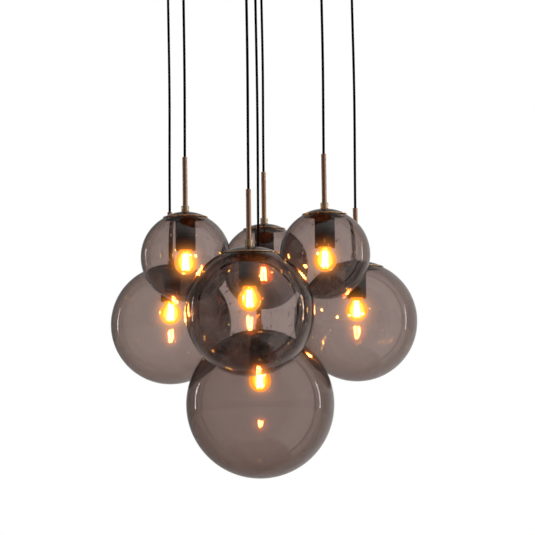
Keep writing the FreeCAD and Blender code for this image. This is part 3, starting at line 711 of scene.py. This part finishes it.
def make_cord(lamp, diameter):
    """One cord as a smooth tube, and the line that it follows."""
    points, drop = cord_route(lamp)
    curve = bpy.data.curves.new(f"sheath_{lamp.name}", "CURVE")
    curve.dimensions = "3D"
    curve.resolution_u = 12
    spline = curve.splines.new("NURBS")
    spline.points.add(len(points) - 1)
    for place, point in zip(spline.points, points):
        place.co = (*point, 1)
    spline.order_u = 3
    spline.use_endpoint_u = True
    piece = bpy.data.objects.new(f"sheath_{lamp.name}", curve)
    bpy.context.scene.collection.objects.link(piece)
    bpy.context.view_layer.update()
    line_mesh = bpy.data.meshes.new_from_object(piece)
    line = [v.co.copy() for v in line_mesh.vertices]
    bpy.data.meshes.remove(line_mesh)
    curve.bevel_depth = diameter / 2
    curve.bevel_resolution = 5
    curve.use_fill_caps = True
    pick(piece)
    bpy.ops.object.convert(target="MESH")
    piece = bpy.context.object
    bpy.ops.object.shade_smooth_by_angle(angle=math.radians(40))
    return piece, line, drop


class PENDANT_OT_cords(bpy.types.Operator):
    """Lays the seven cords from their grips to their stems"""

    bl_idname = "pendant.cords"
    bl_label = "Cords"

    def execute(self, context):
        diameter = context.scene.pendant_sizes.cord_diameter
        sheath = cord_pvc(context.scene.pendant_finishes)
        for lamp in LAMPS:
            piece, line, drop = make_cord(lamp, diameter)
            coat(piece, sheath)
            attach(piece, f"cord_{lamp.name}")
            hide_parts(f"cord_{lamp.name}")
            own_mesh(piece)
        return {"FINISHED"}


class PENDANT_OT_globes(bpy.types.Operator):
    """Blows the seven glass globes, each with its hole and its wall"""

    bl_idname = "pendant.globes"
    bl_label = "Glass globes"

    def execute(self, context):
        glass = smoke_glass(context.scene.pendant_finishes)
        edge = context.scene.pendant_sizes.glass_edge
        for radius, lamps in BY_RADIUS.items():
            lamp = lamps[0]
            start_clean()
            bpy.ops.mesh.primitive_uv_sphere_add(segments=128, ring_count=80, radius=radius,
                                                 location=(0, 0, -radius))
            globe = context.object
            globe.name = "globe_master"
            bpy.ops.object.mode_set(mode="EDIT")
            bpy.ops.mesh.select_all(action="SELECT")
            hole_height = math.sqrt(radius ** 2 - lamp.hole ** 2) - radius
            bpy.ops.mesh.bisect(plane_co=(0, 0, hole_height), plane_no=(0, 0, 1),
                                clear_outer=True)
            bpy.ops.object.mode_set(mode="OBJECT")
            modify(globe, "SOLIDIFY", thickness=lamp.wall, offset=-1.0)
            modify(globe, "BEVEL", width=edge, segments=3, limit_method="ANGLE",
                   angle_limit=SHARP)
            finish_all(globe, glass, "smoke_globe", lamps, "lamp", "globe", 60)
        return {"FINISHED"}


def cap_profile(lamp):
    """Section of a domed cap: outer face, rolled edge, inner face, hole."""
    inside = lamp.radius + CAP_GAP
    outside = inside + CAP_WALL
    bead_path = inside + CAP_BEAD
    centre = (0.0, -lamp.radius)
    low = 90 - math.degrees(math.asin(lamp.cap_radius / bead_path))
    top_inside = 90 - math.degrees(math.asin(NIPPLE_HOLE / inside))
    top_outside = 90 - math.degrees(math.asin(NIPPLE_HOLE / outside))
    meets = low + math.degrees(math.acos(
        (outside ** 2 + bead_path ** 2 - CAP_BEAD ** 2) / (2 * outside * bead_path)))
    bead_centre = arc(centre, bead_path, low, low, 1)[0]
    outer = arc(centre, outside, top_outside, meets, 18)
    inner = arc(centre, inside, low, top_inside, 18)
    begin = math.degrees(math.atan2(outer[-1][1] - bead_centre[1], outer[-1][0] - bead_centre[0]))
    end = math.degrees(math.atan2(inner[0][1] - bead_centre[1], inner[0][0] - bead_centre[0]))
    if end > begin:
        end -= 360
    bead = arc(bead_centre, CAP_BEAD, begin, end, 12)[1:-1]
    return outer + bead + inner + outer[:1]


class PENDANT_OT_caps(bpy.types.Operator):
    """Spins the domed caps that close the globes"""

    bl_idname = "pendant.caps"
    bl_label = "Domed caps"

    def execute(self, context):
        finishes = context.scene.pendant_finishes
        for lamps in BY_RADIUS.values():
            lamp = lamps[0]
            cap = turned("cap_master", cap_profile(lamp), 96)
            coat(cap, cap_brass(finishes), cap_edge_painted_highlight(finishes))
            # Faces outside this radius take the bright edge material: the painted highlight on
            # the bead.
            rim = lamp.cap_radius - CAP_HIGHLIGHT_SHARE * CAP_BEAD
            for face in cap.data.polygons:
                face.material_index = int(math.hypot(face.center.x, face.center.y) > rim)
            settle(cap, 50)
            hang_all(cap, "dome_cap", lamps, "lamp", "cap")
        return {"FINISHED"}


class PENDANT_OT_stems(bpy.types.Operator):
    """Turns the brass stem tubes with their ferrules, and the collars on the caps"""

    bl_idname = "pendant.stems"
    bl_label = "Stems and collars"

    def execute(self, context):
        finishes = context.scene.pendant_finishes
        sizes = context.scene.pendant_sizes
        outer, bore = sizes.stem_radius, sizes.stem_radius - sizes.stem_wall
        seat = sizes.cord_diameter / 2 + SEAT_ROOM
        for lamps in BY_RADIUS.values():
            base = lamps[0].cap_underside(0) + CAP_WALL
            low = base + COLLAR_HEIGHT - STEM_IN_COLLAR
            lip = STEM_TOP - FERRULE_LIP
            waist = outer - STEM_EASE
            tube = turned("stem_master", [
                (outer, low), (outer, lip - STEM_EASE), (waist, lip),
                (waist, lip + FERRULE_LINE), (outer, lip + STEM_EASE),
                (outer, STEM_TOP - STEM_EASE), (waist, STEM_TOP), (seat, STEM_TOP),
                (seat, STEM_TOP - SEAT_DEPTH), (WIRE_HOLE, STEM_TOP - SEAT_DEPTH),
                (WIRE_HOLE, STEM_TOP - FERRULE_LENGTH), (bore, STEM_TOP - FERRULE_LENGTH),
                (bore, low), (outer, low)], 48)
            finish_all(tube, stem_brass(finishes), "stem_tube",
                       lamps, "lamp", "stem")
            top = base + COLLAR_HEIGHT
            shoulder, groove = COLLAR_RADIUS - COLLAR_EASE, COLLAR_RADIUS - GROOVE_DEPTH
            collar = turned("collar_master", [
                (shoulder, base), (COLLAR_RADIUS, base + COLLAR_EASE),
                (COLLAR_RADIUS, base + GROOVE_LOW),
                (groove, base + GROOVE_LOW + GROOVE_DEPTH),
                (groove, base + GROOVE_HIGH - GROOVE_DEPTH),
                (COLLAR_RADIUS, base + GROOVE_HIGH), (COLLAR_RADIUS, top - COLLAR_EASE),
                (shoulder, top), (outer + STEM_FIT, top), (outer + STEM_FIT, low),
                (NIPPLE_HOLE, low), (NIPPLE_HOLE, base), (shoulder, base)], 64)
            finish_all(collar, collar_brass(finishes), "stem_collar",
                       lamps, "lamp", "stem")
        return {"FINISHED"}


class PENDANT_OT_holders(bpy.types.Operator):
    """Moulds the black lampholders with their inserts and contacts"""

    bl_idname = "pendant.holders"
    bl_label = "Lampholders"

    def execute(self, context):
        for lamps in BY_RADIUS.values():
            top = lamps[0].cap_underside(CLIP_DISC) - CLIP_STACK
            inner = HOLDER_RADIUS - HOLDER_WALL
            corner = (HOLDER_RADIUS - HOLDER_EDGE, top - HOLDER_EDGE)
            cup = turned("cup_master",
                         [(NIPPLE_HOLE, top)] + arc(corner, HOLDER_EDGE, 90, 0, 6)
                         + [(HOLDER_RADIUS, HOLDER_LOW + HOLDER_EASE),
                            (HOLDER_RADIUS - HOLDER_EASE, HOLDER_LOW),
                            (inner + HOLDER_EASE, HOLDER_LOW),
                            (inner, HOLDER_LOW + HOLDER_EASE), (inner, top - HOLDER_ROOF),
                            (NIPPLE_HOLE, top - HOLDER_ROOF), (NIPPLE_HOLE, top)], 96)
            finish_all(cup, black_phenolic(), "holder_cup",
                       lamps, "lamp", "lampholder")
            insert = turned("insert_master", [
                (INSERT_BORE, INSERT_LOW), (INSERT_RADIUS, INSERT_LOW),
                (INSERT_RADIUS, INSERT_TOP), (INSERT_HOLE, INSERT_TOP),
                (INSERT_HOLE, INSERT_BORE_TOP),
                (INSERT_BORE, INSERT_BORE_TOP), (INSERT_BORE, INSERT_LOW)], 64)
            finish_all(insert, black_phenolic(), "holder_insert",
                       lamps, "lamp", "lampholder")
            low = INSERT_BORE_TOP - CONTACT_THICKNESS
            plate = turned("contact_master", [
                (CONTACT_RADIUS - CONTACT_EASE, low), (CONTACT_RADIUS, low + CONTACT_EASE),
                (CONTACT_RADIUS, INSERT_BORE_TOP), (0, INSERT_BORE_TOP)], 32, filled=True)
            finish_all(plate, nickel_brass(), "holder_contact",
                       lamps, "lamp", "lampholder")
        return {"FINISHED"}


def bulb_profile():
    """Outer face of the bulb's glass, from its tail in the base to its bottom."""
    rise = math.sqrt((BULB_RADIUS + BULB_BLEND) ** 2 - (BULB_NECK_RADIUS + BULB_BLEND) ** 2)
    blend_centre = (BULB_NECK_RADIUS + BULB_BLEND, BULB_CENTRE + rise)
    join = math.degrees(math.atan2(rise, BULB_NECK_RADIUS + BULB_BLEND))
    return ([(BULB_TAIL_RADIUS, BULB_TAIL_TOP), (BULB_TAIL_RADIUS, BULB_TAIL_LOW),
             (BULB_NECK_RADIUS, BULB_NECK_TOP)]
            + arc(blend_centre, BULB_BLEND, 180, 180 + join, 6)
            + arc((0, BULB_CENTRE), BULB_RADIUS, join, -86, 26)[1:]
            + [(0, BULB_CENTRE - BULB_RADIUS)])


class PENDANT_OT_bulbs(bpy.types.Operator):
    """Makes the seven lit filament bulbs"""

    bl_idname = "pendant.bulbs"
    bl_label = "Bulbs"

    def execute(self, context):
        finishes = context.scene.pendant_finishes
        glass = turned("bulb_master", bulb_profile(), 72)
        modify(glass, "SOLIDIFY", thickness=BULB_WALL, offset=-1.0)
        levels = glass.data.attributes.new(BULB_LEVEL, "FLOAT", "POINT")
        low, high = BULB_CENTRE - BULB_RADIUS, BULB_NECK_TOP
        for level, point in zip(levels.data, glass.data.vertices):
            level.value = min(1.0, max(0.0, (point.co.z - low) / (high - low)))
        finish_all(glass, amber_glass(finishes), "bulb_envelope",
                   LAMPS, "bulb", "bulb", 60)
        upper = MOUNT_LOW - HUB_HEIGHT
        flare = [(radius, BULB_TAIL_TOP - depth) for radius, depth in MOUNT_FLARE]
        mount = turned("mount_master", flare + [
            (MOUNT_RADIUS, MOUNT_LOW + MOUNT_EASE), (MOUNT_RADIUS - MOUNT_EASE, MOUNT_LOW),
            (0, MOUNT_LOW)], 32, filled=True)
        finish_all(mount, clear_mount_glass(), "bulb_mount",
                   LAMPS, "bulb", "bulb", 50)
        frame_wire = turned("wire_master", [
            (FILAMENT_TOP_CIRCLE, MOUNT_LOW), (FILAMENT_TOP_CIRCLE + FILAMENT_RADIUS, upper),
            (WIRE_RADIUS, upper - HUB_DISH), (WIRE_RADIUS, LOW_HUB + HUB_HEIGHT),
            (FILAMENT_LOW_CIRCLE, LOW_HUB + HUB_HEIGHT),
            (FILAMENT_LOW_CIRCLE + FILAMENT_RADIUS, LOW_HUB + HUB_HEIGHT / 2),
            (FILAMENT_LOW_CIRCLE, LOW_HUB), (0, LOW_HUB)], 32, filled=True)
        finish_all(frame_wire, nickel_brass(), "filament_frame",
                   LAMPS, "bulb", "bulb")
        for lamp in LAMPS:
            self.spill(lamp)
        strip = self.strip(upper)
        for lamp in LAMPS:
            for n in range(FILAMENTS):
                piece = hang(strip[n], f"filament_{n + 1}_{lamp.name}",
                             (lamp.x, lamp.y, lamp.top))
                coat(piece, glowing_filament(finishes))
                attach(piece, f"bulb_{lamp.name}")
                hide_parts(f"bulb_{lamp.name}")
        for piece in strip:
            discard(piece)
        return {"FINISHED"}

    def spill(self, lamp):
        """The bulb's warm light on the metal round it, which the glass would else hold back."""
        start_clean()
        bpy.ops.object.light_add(type="POINT", location=(lamp.x, lamp.y, lamp.top + BULB_CENTRE))
        light = bpy.context.object
        light.name = f"spill_{lamp.name}"
        light.data.energy = SPILL_POWER
        light.data.color = SPILL_COLOUR
        light.data.shadow_soft_size = BULB_RADIUS
        light.data.use_shadow = False
        light.visible_camera = light.visible_transmission = False
        light.parent = bpy.data.objects[f"bulb_envelope_{lamp.name}"]

    def strip(self, upper):
        """The four leaning filament rods, with rounded ends, round the bulb's axis."""
        masters = []
        low = LOW_HUB + HUB_HEIGHT
        for n in range(FILAMENTS):
            turn = math.radians(360 * n / FILAMENTS + FILAMENT_TURN)
            ends = [Vector((circle * math.cos(turn), circle * math.sin(turn), z))
                    for circle, z in ((FILAMENT_LOW_CIRCLE, low), (FILAMENT_TOP_CIRCLE, upper))]
            run = ends[1] - ends[0]
            start_clean()
            bpy.ops.mesh.primitive_cylinder_add(
                vertices=16, radius=FILAMENT_RADIUS, depth=run.length,
                location=(ends[0] + ends[1]) / 2,
                rotation=run.to_track_quat("Z", "Y").to_euler())
            rod = bpy.context.object
            rod.name = f"strip_master_{n + 1}"
            modify(rod, "BEVEL", width=FILAMENT_EASE, segments=2, limit_method="ANGLE",
                   angle_limit=SHARP)
            settle(rod, 50)
            masters.append(rod)
        return masters


class PENDANT_OT_canopy(bpy.types.Operator):
    """Spins the canopy and cuts its holes"""

    bl_idname = "pendant.canopy"
    bl_label = "Canopy"

    def execute(self, context):
        inner = CANOPY_RADIUS - CANOPY_WALL
        corner = (CANOPY_RADIUS - CANOPY_EDGE, CANOPY_EDGE - CANOPY_DEPTH)
        round_in = CANOPY_EDGE - CANOPY_WALL
        inside = CANOPY_WALL - CANOPY_DEPTH
        across = (CANOPY_CENTRE,) + CANOPY_RINGS
        profile = ([(radius, -CANOPY_DEPTH) for radius in across]
                   + arc(corner, CANOPY_EDGE, -90, 0, 8)
                   + [(CANOPY_RADIUS, -CANOPY_EASE), (CANOPY_RADIUS - CANOPY_EASE, 0),
                      (inner + CANOPY_EASE, 0), (inner, -CANOPY_EASE)]
                   + arc(corner, round_in, 0, -90, 6)
                   + [(radius, inside) for radius in reversed(across)]
                   + [(CANOPY_CENTRE, -CANOPY_DEPTH)])
        pan = turned("canopy_pan", profile, 160)
        coat(pan, canopy_brass(context.scene.pendant_finishes))
        holes = [(lamp.x, lamp.y, CANOPY_GRIP_HOLE) for lamp in LAMPS]
        holes += [(side * STUD_X, 0.0, CANOPY_STUD_HOLE) for side in (-1, 1)]
        for x, y, radius in holes:
            start_clean()
            bpy.ops.mesh.primitive_cylinder_add(vertices=32, radius=radius,
                                                depth=DRILL_LENGTH,
                                                location=(x, y, -CANOPY_DEPTH))
            drill = context.object
            modify(pan, "BOOLEAN", operation="DIFFERENCE", object=drill, solver="EXACT")
            discard(drill)
        settle(pan)
        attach(pan, "canopy")
        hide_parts("canopy")
        return {"FINISHED"}


class PENDANT_OT_fittings(bpy.types.Operator):
    """Finishes the small CAD fittings that stay as they are"""

    bl_idname = "pendant.fittings"
    bl_label = "Small fittings"

    def execute(self, context):
        coat_node("ceiling_bracket", zinc_steel())
        coat_node("cord_grips", black_nylon())
        coat_node("terminal_block", white_polyamide())
        for lamp in LAMPS:
            coat_node(f"glass_clip_{lamp.name}", zinc_steel())
            coat_node(f"bulb_base_{lamp.name}", nickel_brass())
        return {"FINISHED"}


# ---- Stage ----

def studio_world(scene):
    """A white studio: plain white behind the object, and in its reflections a dim room with
    a dark seam round it and a dark table below."""
    world = bpy.data.worlds.new("studio")
    scene.world = world
    world.use_nodes = True
    tree = world.node_tree
    tree.nodes.clear()
    place = add_node(tree, "TexCoord")
    aim = add_node(tree, "SeparateXYZ", (), {"Vector": place.outputs["Generated"]})
    depth = add_node(tree, "MapRange", {"From Min": -1.0, "From Max": 1.0},
                     {"Value": aim.outputs["Y"]})
    ramp = add_node(tree, "ValToRGB", (), {"Fac": depth.outputs["Result"]})
    fill_ramp(ramp, [((at + 1) / 2, (level,) * 3) for at, level in ROOM_DEPTHS])
    side = add_node(tree, "MapRange",
                    {"interpolation_type": "SMOOTHSTEP", "From Min": -ROOM_SIDE_REACH,
                     "From Max": ROOM_SIDE_REACH, "To Min": ROOM_SIDES[0],
                     "To Max": ROOM_SIDES[1]}, {"Value": aim.outputs["X"]})
    waves = add_node(tree, "TexNoise", {"Scale": TABLE_WAVE_SCALE, "Detail": 1.0},
                     {"Vector": place.outputs["Generated"]})
    wavy = add_node(tree, "Math", {"operation": "MULTIPLY", 1: TABLE_WAVE},
                    {0: waves.outputs["Fac"]})
    level = add_node(tree, "Math", {"operation": "ADD"},
                     {0: wavy.outputs["Value"], 1: aim.outputs["Z"]})
    table = add_node(tree, "MapRange",
                     {"interpolation_type": "SMOOTHSTEP", "From Min": TABLE_EDGE - TABLE_BLUR,
                      "From Max": TABLE_EDGE + TABLE_BLUR, "To Min": TABLE_LEVEL,
                      "To Max": 1.0},
                     {"Value": level.outputs["Value"]})
    walls = add_node(tree, "Math", {"operation": "MULTIPLY"},
                     {0: ramp.outputs["Color"], 1: side.outputs["Result"]})
    room = add_node(tree, "Math", {"operation": "MULTIPLY"},
                    {0: walls.outputs["Value"], 1: table.outputs["Result"]})
    studio = add_node(tree, "Background", {"Color": (*ROOM_COLOUR, 1)},
                      {"Strength": room.outputs["Value"]})
    white = add_node(tree, "Background",
                     {"Color": (1.0, 1.0, 1.0, 1), "Strength": 1.0})
    path = add_node(tree, "LightPath")
    seen = add_node(tree, "Math", {"operation": "MAXIMUM"},
                    {0: path.outputs["Is Camera Ray"], 1: path.outputs["Is Transmission Ray"]})
    turns = add_node(tree, "Math", {"operation": "ADD"},
                     {0: path.outputs["Glossy Depth"], 1: path.outputs["Diffuse Depth"]})
    straight = add_node(tree, "Math", {"operation": "LESS_THAN", 1: 0.5},
                        {0: turns.outputs["Value"]})
    plain = add_node(tree, "Math", {"operation": "MULTIPLY"},
                     {0: seen.outputs["Value"], 1: straight.outputs["Value"]})
    mix = add_node(tree, "MixShader", (),
                   {0: plain.outputs["Value"], 1: studio.outputs["Background"],
                    2: white.outputs["Background"]})
    add_node(tree, "OutputWorld", (), {"Surface": mix.outputs["Shader"]})


def strip_light(name, place, width, height, power):
    """An upright studio light turned towards the object, unseen by the camera."""
    start_clean()
    bpy.ops.object.light_add(type="AREA", location=place)
    lamp = bpy.context.object
    lamp.name = name
    lamp.data.shape = "RECTANGLE"
    lamp.data.size, lamp.data.size_y = width, height
    lamp.data.energy = power
    lamp.visible_camera = lamp.visible_transmission = False
    aim = (Vector(STRIP_AIM) - Vector(place)).to_track_quat("-Z", "Y")
    lamp.rotation_euler = aim.to_euler()


def sky_light():
    """Broad soft light from above, which shows in no reflection."""
    start_clean()
    bpy.ops.object.light_add(type="SUN", rotation=(*map(math.radians, SKY_TILT), 0))
    lamp = bpy.context.object
    lamp.name = "soft_skylight"
    lamp.data.energy = SKY_STRENGTH
    lamp.data.angle = math.radians(SKY_SPREAD)
    lamp.visible_glossy = lamp.visible_camera = lamp.visible_transmission = False


def bloom(scene):
    """The halo that a lens gives the lit filaments."""
    scene.use_nodes = True
    tree = scene.node_tree
    tree.nodes.clear()
    picture = add_node(tree, "RLayers")
    glare = add_node(tree, "Glare", {"glare_type": "BLOOM", **BLOOM},
                     {"Image": picture.outputs["Image"]})
    add_node(tree, "Composite", (), {"Image": glare.outputs["Image"]})


class PENDANT_OT_stage(bpy.types.Operator):
    """Sets the pale floor, the studio round it and the soft lights"""

    bl_idname = "pendant.stage"
    bl_label = "Stage"

    def execute(self, context):
        start_clean()
        bpy.ops.mesh.primitive_circle_add(vertices=128, radius=FLOOR_RADIUS, fill_type="NGON",
                                          location=(0, 0, FLOOR_HEIGHT))
        floor = context.object
        floor.name = "pale_floor"
        bpy.ops.object.transform_apply(location=True, rotation=True, scale=True)
        coat(floor, plastic("pale_studio_floor", linear("#F4F3F1"), scale=3.0,
                            low=0.6, high=0.8, bump=0.02))
        floor.visible_glossy = False
        studio_world(context.scene)
        for row in STRIP_LIGHTS:
            strip_light(*row)
        sky_light()
        bloom(context.scene)
        cycles = context.scene.cycles
        cycles.sample_clamp_indirect = 0.0
        cycles.max_bounces = cycles.transmission_bounces = GLASS_BOUNCES
        cycles.glossy_bounces = GLOSS_BOUNCES
        context.scene.view_settings.view_transform = "Standard"
        return {"FINISHED"}


STEPS = (PENDANT_OT_camera, PENDANT_OT_cords, PENDANT_OT_globes, PENDANT_OT_caps,
         PENDANT_OT_stems, PENDANT_OT_holders, PENDANT_OT_bulbs, PENDANT_OT_canopy,
         PENDANT_OT_fittings, PENDANT_OT_stage)


class PENDANT_PT_panel(bpy.types.Panel):
    """Lists the pendant's steps, sizes and finishes"""

    bl_label = "Cluster pendant"
    bl_idname = "PENDANT_PT_panel"
    bl_space_type = "VIEW_3D"
    bl_region_type = "UI"
    bl_category = "Pendant"

    def draw(self, context):
        layout = self.layout
        for step in STEPS:
            layout.operator(step.bl_idname)
        for group in (context.scene.pendant_sizes, context.scene.pendant_finishes):
            for name in group.bl_rna.properties.keys():
                if name not in ("rna_type", "name"):
                    layout.prop(group, name)


CLASSES = (PendantSizes, PendantFinishes) + STEPS + (PENDANT_PT_panel,)


def register():
    for one_class in CLASSES:
        bpy.utils.register_class(one_class)
    bpy.types.Scene.pendant_sizes = bpy.props.PointerProperty(type=PendantSizes)
    bpy.types.Scene.pendant_finishes = bpy.props.PointerProperty(type=PendantFinishes)


def unregister():
    del bpy.types.Scene.pendant_finishes
    del bpy.types.Scene.pendant_sizes
    for one_class in reversed(CLASSES):
        bpy.utils.unregister_class(one_class)


def main():
    register()
    for step in STEPS:
        group, name = step.bl_idname.split(".")
        getattr(getattr(bpy.ops, group), name)()


if __name__ == "__main__":
    main()
